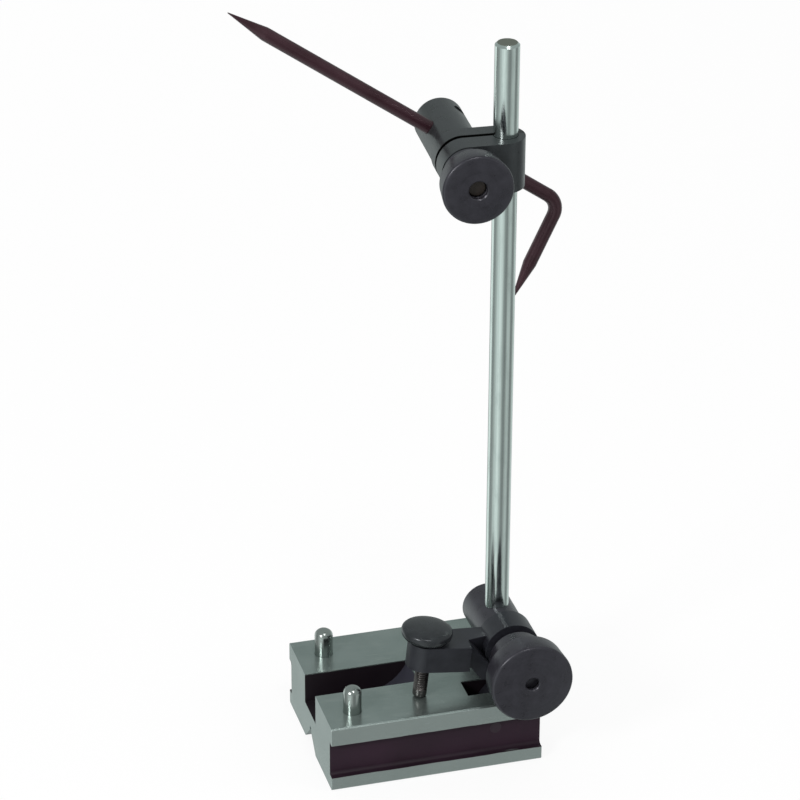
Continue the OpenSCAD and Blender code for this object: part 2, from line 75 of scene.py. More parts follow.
# %% Camera
right = Vector((0.962467, -0.271369, 0.003938))
up = Vector((0.122915, 0.44879, 0.885144))
forward = Vector((0.241968, 0.851438, -0.465301))
stand = Vector((-0.28486, -0.98295, 0.66518))
sensor_mm, lens_mm = 36, 160.12
bpy.ops.object.select_all(action="DESELECT")
bpy.ops.object.camera_add(location=stand)
camera = bpy.context.object
camera.name = "picture_camera"
facing = Matrix((right, up, -forward)).transposed().to_4x4()
camera.matrix_world = Matrix.Translation(stand) @ facing
camera.data.sensor_width = sensor_mm
camera.data.lens = lens_mm
bpy.context.scene.camera = camera
spindle_middle = Vector((0.029, 0, 0.12))
print("camera to spindle:", round((stand - spindle_middle).length, 3), "m")

# %% [markdown]
# ## The table
# The gauge stands on a plain white table that runs on without an edge. The table lies a hair
# under the block, so that the two faces don't fight for the same place.

# %% Table
table_half = 2.5
table_drop = 0.0001
bpy.ops.object.select_all(action="DESELECT")
bpy.ops.mesh.primitive_plane_add(size=2 * table_half, location=(0, 0, -table_drop))
table = bpy.context.object
table.name = "studio_table"
print("table:", 2 * table_half, "m square")

# %% [markdown]
# ## The table's white
# A camera ray sees mostly plain white there, and a part of the table's own shading, so that a
# soft shadow stays. A reflected ray passes through the table to the studio round it, which keeps
# the metal's reflections simple. To every other ray the table is a middle grey, so that it
# throws little light up under the gauge.

# %% Table white
def new_material(name):
    """A material with nodes, its tree, its shader and its output."""
    material = bpy.data.materials.new(name)
    material.use_nodes = True
    tree = material.node_tree
    shader = tree.nodes["Principled BSDF"]
    return material, tree, shader, tree.nodes["Material Output"]


def grey(level):
    """A grey as a colour socket takes it."""
    return (level, level, level, 1)


grey_for_light, grey_for_camera = 0.45, 0.92
plain_share = 0.89
material, tree, shader, output = new_material("table_white")
shader.inputs["Roughness"].default_value = 0.7
shader.inputs["Specular IOR Level"].default_value = 0.1
path = tree.nodes.new("ShaderNodeLightPath")
paper = tree.nodes.new("ShaderNodeMix")
paper.data_type = "RGBA"
paper.inputs["A"].default_value = grey(grey_for_light)
paper.inputs["B"].default_value = grey(grey_for_camera)
tree.links.new(path.outputs["Is Camera Ray"], paper.inputs["Factor"])
tree.links.new(paper.outputs["Result"], shader.inputs["Base Color"])
white = tree.nodes.new("ShaderNodeEmission")
share = tree.nodes.new("ShaderNodeMath")
share.operation = "MULTIPLY"
share.inputs[1].default_value = plain_share
seen = tree.nodes.new("ShaderNodeMixShader")
clear = tree.nodes.new("ShaderNodeBsdfTransparent")
passed = tree.nodes.new("ShaderNodeMixShader")
tree.links.new(path.outputs["Is Camera Ray"], share.inputs[0])
tree.links.new(share.outputs[0], seen.inputs[0])
tree.links.new(shader.outputs[0], seen.inputs[1])
tree.links.new(white.outputs[0], seen.inputs[2])
tree.links.new(path.outputs["Is Glossy Ray"], passed.inputs[0])
tree.links.new(seen.outputs[0], passed.inputs[1])
tree.links.new(clear.outputs[0], passed.inputs[2])
tree.links.new(passed.outputs[0], output.inputs[0])
table.data.materials.append(material)
print("table white nodes:", len(tree.nodes))

# %% [markdown]
# ## The studio round it
# Bright steel has no colour of its own to show: what it shows is the room. So the room is drawn
# here as bright and dark sectors round the gauge. A radial gradient turns the direction into a
# number from 0 to 1, and a colour ramp says how bright each sector is. The number starts behind
# the gauge, as the camera sees it, and runs round past its left.

# %% World sectors
camera_swing = 15.9
sector_stops = [
    (0.000, 0.50), (0.030, 1.15), (0.100, 1.15), (0.125, 0.32), (0.190, 0.40), (0.270, 0.80),
    (0.335, 1.08), (0.390, 0.88), (0.445, 0.40), (0.495, 0.26), (0.550, 0.64), (0.612, 0.66),
    (0.660, 0.22), (0.715, 0.42), (0.790, 0.90), (0.870, 0.50), (0.930, 0.30), (1.000, 0.60),
]
room_tint = (0.93, 1.02, 1.0)
world = bpy.data.worlds.new("studio")
bpy.context.scene.world = world
world.use_nodes = True
tree = world.node_tree
where = tree.nodes.new("ShaderNodeTexCoord")
swing = tree.nodes.new("ShaderNodeMapping")
swing.inputs["Rotation"].default_value = (0, 0, math.radians(90 - camera_swing))
sweep = tree.nodes.new("ShaderNodeTexGradient")
sweep.gradient_type = "RADIAL"
sectors = tree.nodes.new("ShaderNodeValToRGB")
ramp = sectors.color_ramp
while len(ramp.elements) < len(sector_stops):
    ramp.elements.new(0.5)
for element, (place, level) in zip(ramp.elements, sector_stops):
    element.position = place
    element.color = (*(level * tint for tint in room_tint), 1)
tree.links.new(where.outputs["Generated"], swing.inputs[0])
tree.links.new(swing.outputs[0], sweep.inputs[0])
tree.links.new(sweep.outputs[0], sectors.inputs[0])
print("studio sectors:", len(sector_stops))

# %% [markdown]
# ## Ceiling, even light and plain white
# Above the level the room turns into one broad soft ceiling. Only reflected rays see the sectors
# and the ceiling: matt surfaces get an even grey light, and the camera sees plain white, so the
# backdrop is as white as in the photograph.

# %% World by kind of ray
ceiling_start, ceiling_full = -0.05, 0.25
ceiling_tint = (0.42, 0.47, 0.46)
even_level = 0.55
height = tree.nodes.new("ShaderNodeSeparateXYZ")
above = tree.nodes.new("ShaderNodeMapRange")
above.inputs["From Min"].default_value = ceiling_start
above.inputs["From Max"].default_value = ceiling_full
ceiling = tree.nodes.new("ShaderNodeMix")
ceiling.data_type = "RGBA"
ceiling.inputs["B"].default_value = (*ceiling_tint, 1)
tree.links.new(where.outputs["Generated"], height.inputs[0])
tree.links.new(height.outputs["Z"], above.inputs["Value"])
tree.links.new(above.outputs["Result"], ceiling.inputs["Factor"])
tree.links.new(sectors.outputs["Color"], ceiling.inputs["A"])

path = tree.nodes.new("ShaderNodeLightPath")
even = tree.nodes.new("ShaderNodeMix")
even.data_type = "RGBA"
even.inputs["A"].default_value = grey(even_level)
tree.links.new(path.outputs["Is Glossy Ray"], even.inputs["Factor"])
tree.links.new(ceiling.outputs["Result"], even.inputs["B"])
plain = tree.nodes.new("ShaderNodeMix")
plain.data_type = "RGBA"
plain.inputs["B"].default_value = grey(1)
seen = tree.nodes.new("ShaderNodeMath")
seen.operation = "MAXIMUM"
tree.links.new(path.outputs["Is Camera Ray"], seen.inputs[0])
tree.links.new(path.outputs["Is Transmission Ray"], seen.inputs[1])
tree.links.new(seen.outputs[0], plain.inputs["Factor"])
tree.links.new(even.outputs["Result"], plain.inputs["A"])
tree.links.new(plain.outputs["Result"], tree.nodes["Background"].inputs["Color"])
bpy.context.scene.view_settings.view_transform = "Standard"
print("world nodes:", len(tree.nodes))

# %% [markdown]
# ## Lamps
# A key lamp from the upper left in front and a small one overhead give the glints on chamfers
# and domes. Two wide lamps, from the right and from behind, only lift the shade: they are kept
# out of reflections, where they would glare. With the even light they bring a matt surface to
# about the colour that is written in its material.

# %% Lamps
def soft_lamp(name, place, target, size, watts, mirrored=True):
    """A square area lamp at a place, aimed at a target; mirrored says if gloss shows it."""
    bpy.ops.object.light_add(type="AREA", location=place)
    lamp = bpy.context.object
    lamp.name = name
    lamp.data.size = size
    lamp.data.energy = watts
    aim = Vector(target) - Vector(place)
    lamp.rotation_euler = aim.to_track_quat("-Z", "Y").to_euler()
    lamp.visible_glossy = mirrored


middle = (0.0, 0.0, 0.08)
soft_lamp("key_lamp", (-1.05, -0.75, 0.85), middle, size=0.32, watts=9.0)
soft_lamp("top_lamp", (0.03, -0.55, 1.2), middle, size=0.22, watts=2.2)
soft_lamp("fill_lamp", (1.1, -0.55, 0.9), middle, size=0.7, watts=4.0, mirrored=False)
soft_lamp("back_lamp", (-0.1, 1.2, 0.9), middle, size=0.7, watts=4.0, mirrored=False)

# %% [markdown]
# ## Building blocks for the finishes
# Each finish starts from Object coordinates, which don't move with the camera or the pose. A
# mapping node first moves them to the piece's own axis, so that grain can run along a bar or
# round a knob. Noise then varies colour and roughness, and a bump node adds what fingers feel.

# %% Coordinates and noise
def add(tree, kind, **sockets):
    """A node of that kind with some sockets set; a name with _ stands for one with spaces."""
    node = tree.nodes.new(kind)
    for name, value in sockets.items():
        node.inputs[name.replace("_", " ")].default_value = value
    return node


def local_space(tree, centre=(0, 0, 0), angles=(0, 0, 0)):
    """Object coordinates in millimetres, measured from centre, turned by angles in degrees."""
    where = add(tree, "ShaderNodeTexCoord")
    mapping = add(tree, "ShaderNodeMapping", Location=centre, Scale=(MM, MM, MM),
                  Rotation=[math.radians(a) for a in angles])
    mapping.vector_type = "TEXTURE"
    tree.links.new(where.outputs["Object"], mapping.inputs[0])
    return mapping.outputs[0]


def split(tree, space):
    """The three coordinates of a space, each as a socket."""
    axes = add(tree, "ShaderNodeSeparateXYZ")
    tree.links.new(space, axes.inputs[0])
    return axes.outputs


def stretched_noise(tree, space, scale, stretch=(1.0, 1.0, 1.0), detail=4.0, roughness=0.6):
    """Noise whose grains are stretched: stretch is a factor for each axis, in 1/mm."""
    squeeze = add(tree, "ShaderNodeMapping", Scale=stretch)
    noise = add(tree, "ShaderNodeTexNoise", Scale=scale, Detail=detail, Roughness=roughness)
    tree.links.new(space, squeeze.inputs[0])
    tree.links.new(squeeze.outputs[0], noise.inputs[0])
    return noise.outputs["Fac"]


def bumped(tree, shader, height, depth_mm):
    """A bump of that depth from a height between 0 and 1."""
    bump = add(tree, "ShaderNodeBump", Strength=1.0, Distance=depth_mm * MM)
    tree.links.new(height, bump.inputs["Height"])
    tree.links.new(bump.outputs[0], shader.inputs["Normal"])


print("coordinates and noise ready")

# %% [markdown]
# ## Sums, mixes and masks
# A mask is a number that is 1 where a finish is wanted and 0 elsewhere, with a short soft edge.
# Masks are cut from the coordinates, so they lie where the solid has its faces, and the lowest
# of several masks is the place that all of them share.

# %% Sums, mixes and masks
def feed(tree, socket, value):
    """Links a socket to another, or sets it to a number or a colour."""
    if hasattr(value, "is_output"):
        tree.links.new(value, socket)
    elif hasattr(value, "__len__"):
        socket.default_value = (*value, 1)
    else:
        socket.default_value = value


def arithmetic(tree, operation, *values):
    """A math node; each value is a number or a socket."""
    node = tree.nodes.new("ShaderNodeMath")
    node.operation = operation
    for socket, value in zip(node.inputs, values):
        feed(tree, socket, value)
    return node.outputs[0]


def mixed(tree, factor, a, b):
    """Colour a where factor is 0 and b where it is 1; each is a colour or a socket."""
    mix = tree.nodes.new("ShaderNodeMix")
    mix.data_type = "RGBA"
    tree.links.new(factor, mix.inputs["Factor"])
    feed(tree, mix.inputs["A"], a)
    feed(tree, mix.inputs["B"], b)
    return mix.outputs["Result"]


def ranged(tree, value, low, high, start=0.3, stop=0.7):
    """A value from start to stop, spread over low to high."""
    spread = add(tree, "ShaderNodeMapRange", From_Min=start, From_Max=stop, To_Min=low,
                 To_Max=high)
    tree.links.new(value, spread.inputs["Value"])
    return spread.outputs["Result"]


def beyond(tree, value, start, soft=0.1):
    """0 up to start, rising to 1 over soft."""
    return ranged(tree, value, 0, 1, start, start + soft)


def before(tree, value, stop, soft=0.1):
    """1 up to stop, falling to 0 over soft."""
    return ranged(tree, value, 1, 0, stop, stop + soft)


def shared(tree, *masks):
    """1 only where every mask is 1."""
    least = masks[0]
    for mask in masks[1:]:
        least = arithmetic(tree, "MINIMUM", least, mask)
    return least


def span(tree, value, low, high, soft):
    """1 where value is from low to high, falling to 0 over soft outside."""
    return shared(tree, beyond(tree, value, low - soft, soft), before(tree, value, high, soft))


print("masks ready")

# %% [markdown]
# ## Ground steel
# The block is ground on its outer faces. Grinding leaves fine straight lines along the block,
# and a colour that is a cool grey rather than white. The lands on the long sides, beside the
# recesses, are painted paler: a painted sheen of those lit faces.

# %% Ground steel colour
ground_steel, tree, shader, output = new_material("ground_steel_finish")
space = local_space(tree)
x, y, z = split(tree, space)
beside = arithmetic(tree, "ABSOLUTE", y)
lines = stretched_noise(tree, space, scale=1.0, stretch=(0.05, 5.0, 5.0), detail=6.0,
                        roughness=0.7)
marks = stretched_noise(tree, space, scale=0.35, stretch=(0.25, 1.4, 1.4), detail=5.0,
                        roughness=0.55)
clouds = stretched_noise(tree, space, scale=0.06)
steel_dull, steel_clean = (0.27, 0.325, 0.31), (0.35, 0.405, 0.39)
steel_line, steel_worn, land_sheen = (0.19, 0.235, 0.22), (0.42, 0.47, 0.44), (0.56, 0.62, 0.60)
land_start, land_soft = 28.25, 0.15
steel = mixed(tree, ranged(tree, clouds, 0, 1), steel_dull, steel_clean)
steel = mixed(tree, ranged(tree, lines, 0, 0.55), steel, steel_line)
steel = mixed(tree, ranged(tree, marks, 0, 0.35, start=0.55, stop=0.8), steel, steel_worn)
# The long sides' lands are painted paler here: painted sheen.
land = ranged(tree, beside, 0, 0.6, land_start, land_start + land_soft)
steel = mixed(tree, land, steel, land_sheen)
print("ground steel nodes so far:", len(tree.nodes))

# %% [markdown]
# ## Where the block is painted
# The recesses in the long sides and the slot aren't ground: they are painted a very dark
# brown-red, as rough castings are, and the rocker's pocket gets the same dark coat. One material
# does both steel and coat, because both are on one solid, so each coated place gets its mask. A
# little noise on the height makes the brushed edge of the paint uneven.

# %% Paint masks
recess_low, recess_high, recess_floor = 4.9, 17.4, 25.8
slot_half, slot_low, slot_end = 7.06, 13.0, 33.5
pocket_x, pocket_y = (12.8, 33.5), (-20.35, -11.25)
paint_top = 23.62
edge_wander, brush_soft, wall_soft = 0.12, 0.08, 0.05
wander = arithmetic(tree, "MULTIPLY", ranged(tree, marks, -1, 1), edge_wander)
brushed_z = arithmetic(tree, "ADD", z, wander)
recess = shared(tree, span(tree, brushed_z, recess_low, recess_high, brush_soft),
                beyond(tree, beside, recess_floor, brush_soft))
slot = shared(tree, before(tree, beside, slot_half, wall_soft), beyond(tree, z, slot_low),
              before(tree, brushed_z, paint_top, brush_soft), before(tree, x, slot_end))
pocket = shared(tree, span(tree, x, *pocket_x, wall_soft), span(tree, y, *pocket_y, wall_soft),
                before(tree, z, paint_top, brush_soft))
paint = arithmetic(tree, "MAXIMUM", arithmetic(tree, "MAXIMUM", recess, slot), pocket)
bare = arithmetic(tree, "SUBTRACT", 1.0, paint)
print("paint reaches up to", paint_top, "mm")

# %% [markdown]
# ## The paint, and both together
# The coat is painted darker inside the slot and the pocket, as painted shade, and darker towards
# the foot of each recess, as painted shade over the lit fillet. Away from its open end the slot
# is painted a bluish grey, a painted sheen of its lit floor and ramp. Bare steel is metallic
# with a fine grain, paint is matt with an orange peel, and the masks choose between them.

# %% Paint and steel together
paint_dark, paint_pale = (0.020, 0.008, 0.016), (0.032, 0.013, 0.026)
paint_shaded, slot_sheen_grey = (0.009, 0.005, 0.008), (0.034, 0.034, 0.048)
shade_inside_half, foot_shade_from, foot_shade_to, foot_shade_share = 20.0, 5.4, 6.6, 0.45
slot_sheen_half, slot_sheen_from, slot_sheen_to = 6.8, -21.0, -17.0
coat = mixed(tree, ranged(tree, clouds, 0, 1), paint_dark, paint_pale)
# Inside the slot and the pocket the coat is painted darker: painted shade.
coat = mixed(tree, beyond(tree, beside, shade_inside_half), paint_shaded, coat)
# Towards the foot of each recess the coat is painted darker: painted shade over the lit fillet.
foot_shade = ranged(tree, z, 1, 0, foot_shade_from, foot_shade_to)
coat = mixed(tree, arithmetic(tree, "MULTIPLY", foot_shade, foot_shade_share), coat, paint_shaded)
# Away from the slot's open end a bluish grey is painted on: painted sheen of the lit floor and
# ramp.
slot_sheen = shared(tree, before(tree, beside, slot_sheen_half), slot,
                     ranged(tree, x, 0, 1, slot_sheen_from, slot_sheen_to))
coat = mixed(tree, slot_sheen, coat, slot_sheen_grey)
tree.links.new(mixed(tree, paint, steel, coat), shader.inputs["Base Color"])
bare_metallic = 0.8
tree.links.new(arithmetic(tree, "MULTIPLY", bare, bare_metallic), shader.inputs["Metallic"])
grain = ranged(tree, lines, low=0.18, high=0.28)
painted = ranged(tree, clouds, low=0.50, high=0.65)
rough = arithmetic(tree, "ADD", arithmetic(tree, "MULTIPLY", bare, grain),
                   arithmetic(tree, "MULTIPLY", paint, painted))
tree.links.new(rough, shader.inputs["Roughness"])
shader.inputs["Specular IOR Level"].default_value = 0.3
orange_peel = stretched_noise(tree, space, scale=1.6, detail=3.0, roughness=0.5)
relief = arithmetic(tree, "ADD", arithmetic(tree, "MULTIPLY", bare, lines),
                    arithmetic(tree, "MULTIPLY", paint, orange_peel))
bumped(tree, shader, relief, depth_mm=0.012)
print("ground steel nodes:", len(tree.nodes))

# %% [markdown]
# ## Blackened steel
# The clamps, knobs and the rocking bracket are turned or milled and then blackened. The black
# is a thin bluish film over steel: dark, satin, a little patchy, and rubbed thinner where hands
# and tools touch it. Turning marks run round each piece's own axis, so their noise is read at
# the distance from that axis and the place along it.

# %% Blackened steel
def blackened(name, centre, angles, rub=0.25, tint=(1.40, 1.33, 1.70), gloss=0.0, shaded_slit=None):
    """Blackened steel, turned about the local Y axis through centre (in metres).

    Between the two values of the slit along Y, in mm, the faces are painted nearly black: painted
    shade."""
    film_dark, film_pale, film_turned = 0.0165, 0.0290, 0.040
    rubbed, sawn_and_slit_shade = (0.11, 0.115, 0.12), (0.002, 0.002, 0.002)
    material, tree, shader, output = new_material(name)
    space = local_space(tree, centre, angles)
    across, along, upward = split(tree, space)
    flat = add(tree, "ShaderNodeCombineXYZ")
    tree.links.new(across, flat.inputs["X"])
    tree.links.new(upward, flat.inputs["Z"])
    distance = tree.nodes.new("ShaderNodeVectorMath")
    distance.operation = "LENGTH"
    tree.links.new(flat.outputs[0], distance.inputs[0])
    turned = add(tree, "ShaderNodeCombineXYZ")
    tree.links.new(distance.outputs["Value"], turned.inputs["X"])
    tree.links.new(along, turned.inputs["Y"])
    rings = add(tree, "ShaderNodeTexNoise", Scale=3.2, Detail=3.0, Roughness=0.7)
    tree.links.new(turned.outputs[0], rings.inputs[0])
    clouds = stretched_noise(tree, space, scale=0.22, detail=5.0)
    specks = stretched_noise(tree, space, scale=2.6, detail=3.0)
    film = mixed(tree, ranged(tree, clouds, 0, 1), [film_dark * t for t in tint],
                 [film_pale * t for t in tint])
    film = mixed(tree, ranged(tree, rings.outputs["Fac"], 0, 0.35), film,
                 [film_turned * t for t in tint])
    film = mixed(tree, ranged(tree, specks, 0, rub, start=0.62, stop=0.8), film, rubbed)
    if shaded_slit:
        # The slit's faces are painted nearly black: painted shade in the narrow gap.
        film = mixed(tree, span(tree, along, *shaded_slit, 0.02), film, sawn_and_slit_shade)
    tree.links.new(film, shader.inputs["Base Color"])
    shader.inputs["Metallic"].default_value = 0.35
    shader.inputs["Specular IOR Level"].default_value = 0.5
    satin = ranged(tree, clouds, low=0.30 - gloss, high=0.44 - gloss)
    tree.links.new(satin, shader.inputs["Roughness"])
    ring_share, speck_share = 0.6, 0.4
    relief = arithmetic(tree, "ADD",
                        arithmetic(tree, "MULTIPLY", rings.outputs["Fac"], ring_share),
                        arithmetic(tree, "MULTIPLY", specks, speck_share))
    bumped(tree, shader, relief, depth_mm=0.010)
    return material


print("blackened steel ready")

# %% [markdown]
# ## The black pieces' axes
# The lower clamp's axis runs straight across the block. The upper clamp's axis stands beside the
# spindle and is swung a few degrees round it, as the strap is. The upper sleeve and the strap
# are a little greener than the knobs, and the upper stud has turned brown.

# %% Black finishes
spindle_x, snug_turn = 28.727, -3.5
clamp_axis = Vector((spindle_x, 0.0, 38.217)) * MM
snug_centre = Vector((spindle_x, 0.0, 209.217)) * MM
bolt_off = 13.8
swing_back = Matrix.Rotation(math.radians(snug_turn), 3, "Z")
bolt_axis = snug_centre + swing_back @ Vector((-bolt_off * MM, 0, 0))
upper_angles = (0, 0, snug_turn)
greenish, brownish = (1.35, 1.50, 1.62), (1.5, 1.15, 0.95)
# The strap's slit is painted nearly black: painted shade in the narrow gap.
handled, shine, strap_slit_shade = 0.35, 0.06, (0.08, 1.92)
black_low = blackened("black_low_clamp", clamp_axis, (0, 0, 0), gloss=shine)
black_top = blackened("black_top_clamp", bolt_axis, upper_angles, gloss=shine)
black_sleeves = blackened("black_sleeves", bolt_axis, upper_angles, handled, greenish, shine)
black_strap = blackened("black_strap", bolt_axis, upper_angles, handled, greenish, shine,
                        strap_slit_shade)
brown_stud = blackened("brown_stud", bolt_axis, upper_angles, handled, brownish)
print("upper bolt's axis at", [round(v, 4) for v in bolt_axis])

# %% [markdown]
# ## Bright bars
# The spindle is drawn bright bar: nearly a mirror, with faint drawing lines along it. Its sawn
# top is duller. The guide pins and the fine screw get the same finish later on, darker and less
# polished.

# %% Bright steel
def bright(name, centre, angles, low, high, rough, end=None):
    """Bright steel with drawing lines along the local Z axis through centre.

    Above end, in mm, the sawn end face is duller."""
    material, tree, shader, output = new_material(name)
    space = local_space(tree, centre, angles)
    lines = stretched_noise(tree, space, scale=1.0, stretch=(6.0, 6.0, 0.03), detail=5.0,
                            roughness=0.65)
    clouds = stretched_noise(tree, space, scale=0.3, stretch=(1.0, 1.0, 0.25))
    shade = [v * 0.6 for v in low]
    steel = mixed(tree, ranged(tree, lines, 0, 1), low, high)
    steel = mixed(tree, ranged(tree, clouds, 0, 0.3, start=0.5, stop=0.75), steel, shade)
    polish = ranged(tree, clouds, rough, rough + 0.10)
    if end:
        sawn_and_slit_shade = beyond(tree, split(tree, space)["Z"], end, 0.03)
        sawn_colour, sawn_rougher = (0.24, 0.25, 0.21), 0.2
        steel = mixed(tree, sawn_and_slit_shade, steel, sawn_colour)
        polish = arithmetic(tree, "ADD", polish,
                            arithmetic(tree, "MULTIPLY", sawn_and_slit_shade, sawn_rougher))
    tree.links.new(steel, shader.inputs["Base Color"])
    shader.inputs["Metallic"].default_value = 1.0
    tree.links.new(polish, shader.inputs["Roughness"])
    bumped(tree, shader, lines, depth_mm=0.003)
    return material


spindle_end = 248.95
pin_x = -26.8
spindle_steel = bright("bright_spindle", (spindle_x * MM, 0, 0), (0, 0, 0),
                       low=(0.50, 0.56, 0.54), high=(0.66, 0.72, 0.70), rough=0.15,
                       end=spindle_end)
pin_steel = bright("bright_pins", (pin_x * MM, 0, 0), (0, 0, 0),
                   low=(0.31, 0.33, 0.32), high=(0.43, 0.46, 0.44), rough=0.19)
print("bright steels:", spindle_steel.name, pin_steel.name)

# %% [markdown]
# ## Scriber steel
# The scriber is hardened and left in its temper colour, a brown-black with a violet cast. It is
# smoother than the clamps, so it shows a long thin highlight.

# %% Scriber steel
scriber_tilt = 34.5
temper_dark, temper_pale = (0.036, 0.011, 0.017), (0.062, 0.023, 0.033)
temper_rubbed = (0.075, 0.05, 0.055)
scriber_steel, tree, shader, output = new_material("tempered_scriber")
space = local_space(tree, bolt_axis, (0, scriber_tilt, snug_turn))
grain = stretched_noise(tree, space, scale=1.0, stretch=(0.06, 3.0, 3.0), detail=5.0)
clouds = stretched_noise(tree, space, scale=0.12, stretch=(0.5, 1.0, 1.0))
brown = mixed(tree, ranged(tree, clouds, 0, 1), temper_dark, temper_pale)
brown = mixed(tree, ranged(tree, grain, 0, 0.4, start=0.5, stop=0.75), brown, temper_rubbed)
tree.links.new(brown, shader.inputs["Base Color"])
shader.inputs["Metallic"].default_value = 0.4
tree.links.new(ranged(tree, clouds, low=0.24, high=0.38), shader.inputs["Roughness"])
bumped(tree, shader, grain, depth_mm=0.010)
print("scriber nodes:", len(tree.nodes))

# %% [markdown]
# ## Spring steel
# The spring and the friction rings are small grey parts that are nearly hidden. The pivot pin is
# the same steel, but its near end lies flush in the painted recess and was painted with it, so
# that end gets the recess's dark coat.

# %% Spring steel
def spring(name, low, high, coat_start=None):
    """Grey spring steel, rough from low to high, painted beyond coat_start (in mm) across."""
    material, tree, shader, output = new_material(name)
    space = local_space(tree)
    spring_dark, spring_pale = (0.20, 0.20, 0.21), (0.32, 0.32, 0.33)
    clouds = stretched_noise(tree, space, scale=0.8)
    patches = ranged(tree, clouds, 0, 1)
    colour = mixed(tree, patches, spring_dark, spring_pale)
    shader.inputs["Metallic"].default_value = 1.0
    if coat_start:
        coated = beyond(tree, arithmetic(tree, "ABSOLUTE", split(tree, space)["Y"]), coat_start)
        colour = mixed(tree, coated, colour, mixed(tree, patches, paint_dark, paint_pale))
        tree.links.new(arithmetic(tree, "SUBTRACT", 1.0, coated), shader.inputs["Metallic"])
    tree.links.new(colour, shader.inputs["Base Color"])
    tree.links.new(ranged(tree, clouds, low, high), shader.inputs["Roughness"])
    bumped(tree, shader, clouds, depth_mm=0.01)
    return material


spring_steel = spring("grey_spring_steel", low=0.3, high=0.45)
pivot_steel = spring("painted_pivot_pin", low=0.38, high=0.5, coat_start=25.0)
print("spring steels:", spring_steel.name, pivot_steel.name)

# %% [markdown]
# ## Softened edges
# The block, the bracket and the strap are milled, and their edges are broken with a file. A
# knife-sharp edge looks false, because no light ever falls on it. Each softened piece is a copy
# of its solid: its loose triangles are merged, flat faces are joined, and a small bevel runs
# along every edge that is sharper than the limit. Working on a copy keeps every hole and face
# exactly where the solid has it.

# %% Softened copies
weld = 1e-6
flat_within, sharp_from = 0.5, 28


def pick_piece(piece):
    """Makes one piece the active one and the only one that is selected."""
    bpy.ops.object.select_all(action="DESELECT")
    piece.select_set(True)
    bpy.context.view_layer.objects.active = piece


def smooth(limit):
    """Smooth shading of the active piece, except over edges sharper than limit, in degrees."""
    bpy.ops.object.shade_smooth_by_angle(angle=math.radians(limit))


def softened_copy(node, name, width_mm):
    """A copy of a solid with its edges broken by a bevel of width_mm."""
    piece = nodes[node].copy()
    piece.data = nodes[node].data.copy()
    piece.name = piece.data.name = name
    piece.parent = None
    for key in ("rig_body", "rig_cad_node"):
        if key in piece:
            del piece[key]
    bpy.context.collection.objects.link(piece)
    pick_piece(piece)
    bpy.ops.object.mode_set(mode="EDIT")
    bpy.ops.mesh.select_all(action="SELECT")
    bpy.ops.mesh.remove_doubles(threshold=weld)
    bpy.ops.mesh.dissolve_limited(angle_limit=math.radians(flat_within))
    bpy.ops.object.mode_set(mode="OBJECT")
    bevel = piece.modifiers.new("broken_edges", "BEVEL")
    bevel.width = width_mm * MM
    bevel.segments = 2
    bevel.limit_method = "ANGLE"
    bevel.angle_limit = math.radians(sharp_from)
    bevel.use_clamp_overlap = True
    bevel.miter_outer = "MITER_ARC"
    bpy.ops.object.modifier_apply(modifier=bevel.name)
    smooth(30)
    flatten = piece.modifiers.new("flat_faces_stay_flat", "WEIGHTED_NORMAL")
    flatten.keep_sharp = True
    bpy.ops.object.modifier_apply(modifier=flatten.name)
    print(name, "faces:", len(piece.data.polygons))
    return piece


def dress(piece, material):
    """One material for the whole piece."""
    piece.data.materials.clear()
    piece.data.materials.append(material)


print("edges sharper than", sharp_from, "degrees get softened")

# %% [markdown]
# ## The milled pieces
# The block is filed least for its size, because its lands have to stay true. The bracket is
# handled most and is rounder, and the strap is thin, so its bevel is small.

# %% Block, bracket and strap
block = softened_copy("base", "block", width_mm=0.25)
dress(block, ground_steel)
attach(block, "base_block")
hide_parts("base")

rocker_axis = Vector((20.9, -15.8, 13.5)) * MM
rocker_tilt = 6
bluish = (0.92, 0.95, 1.22)
black_bracket = blackened("black_bracket", rocker_axis, (0, rocker_tilt, 0), rub=0.2,
                          tint=bluish)
bracket = softened_copy("rocker_bracket", "bracket", width_mm=0.35)
dress(bracket, black_bracket)
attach(bracket, "rocker")
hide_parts("rocker_bracket")

strap = softened_copy("snug", "strap", width_mm=0.14)
dress(strap, black_strap)
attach(strap, "snug_body")
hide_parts("snug")

# %% [markdown]
# ## The sleeves
# Both sleeves are turned from bar and cross-drilled for the bar that they hold. Their ends and
# holes have a turned chamfer, which the same bevel gives.

# %% Sleeves
low_sleeve = softened_copy("spindle_clamp_sleeve", "low_sleeve", width_mm=0.3)
dress(low_sleeve, black_low)
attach(low_sleeve, "spindle_clamp")
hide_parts("spindle_clamp_sleeve")

top_sleeve = softened_copy("scriber_clamp_sleeve", "top_sleeve", width_mm=0.3)
dress(top_sleeve, black_sleeves)
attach(top_sleeve, "scriber_clamp")
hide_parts("scriber_clamp_sleeve")

# %% [markdown]
# ## Tools for turned pieces
# On a lathe a piece grows step by step along its axis, and it does here too. A face is picked,
# drawn out along Z and scaled about its own middle, again and again, and its rims are bevelled
# last, because a bevel made earlier would be in the way. Turned pieces are built upright at the
# origin and then put in their place.

# %% Turning tools
def start_editing(piece):
    """Makes one piece the active one, with faces as what is picked and nothing selected."""
    pick_piece(piece)
    bpy.ops.object.mode_set(mode="EDIT")
    bpy.ops.mesh.select_mode(type="FACE")
    bpy.ops.mesh.select_all(action="DESELECT")
    bpy.ops.object.mode_set(mode="OBJECT")


def pick_faces(piece, wanted):
    """Selects the faces for which wanted(face) is true, and goes to edit mode."""
    start_editing(piece)
    for face in piece.data.polygons:
        face.select = bool(wanted(face))
    bpy.ops.object.mode_set(mode="EDIT")


